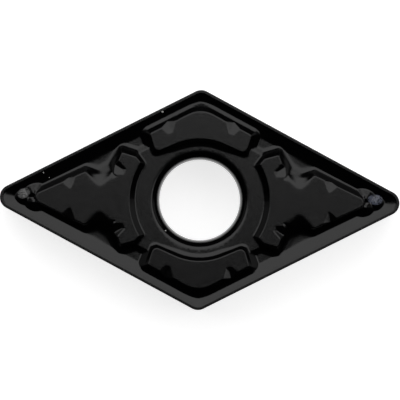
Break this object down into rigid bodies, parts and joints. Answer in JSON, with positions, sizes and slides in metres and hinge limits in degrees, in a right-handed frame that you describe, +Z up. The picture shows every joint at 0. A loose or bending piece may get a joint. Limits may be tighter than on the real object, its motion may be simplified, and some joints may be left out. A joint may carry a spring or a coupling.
{
  "type": "carbide insert",
  "caption": "Double-sided 55 degree rhombic carbide turning insert with a moulded chip-former on both faces, raised seat pads and a flared through hole.",
  "frame": {"origin": "on the bore axis, in the plane of the lower seat pads that the insert rests on", "axes": "+Z up along the bore; +X along the long diagonal, through the two 55 degree cutting noses; +Y along the short diagonal, through the two 125 degree corners"},
  "size_m": [0.0256, 0.0142, 0.0065],
  "materials": {
    "coated_carbide": "as-sintered cemented carbide under a thin black ceramic coating, fine satin sheen, honed cutting edges"
  },
  "bodies": {
    "root": {"insert_body": "coated_carbide"}
  },
  "joints": []
}
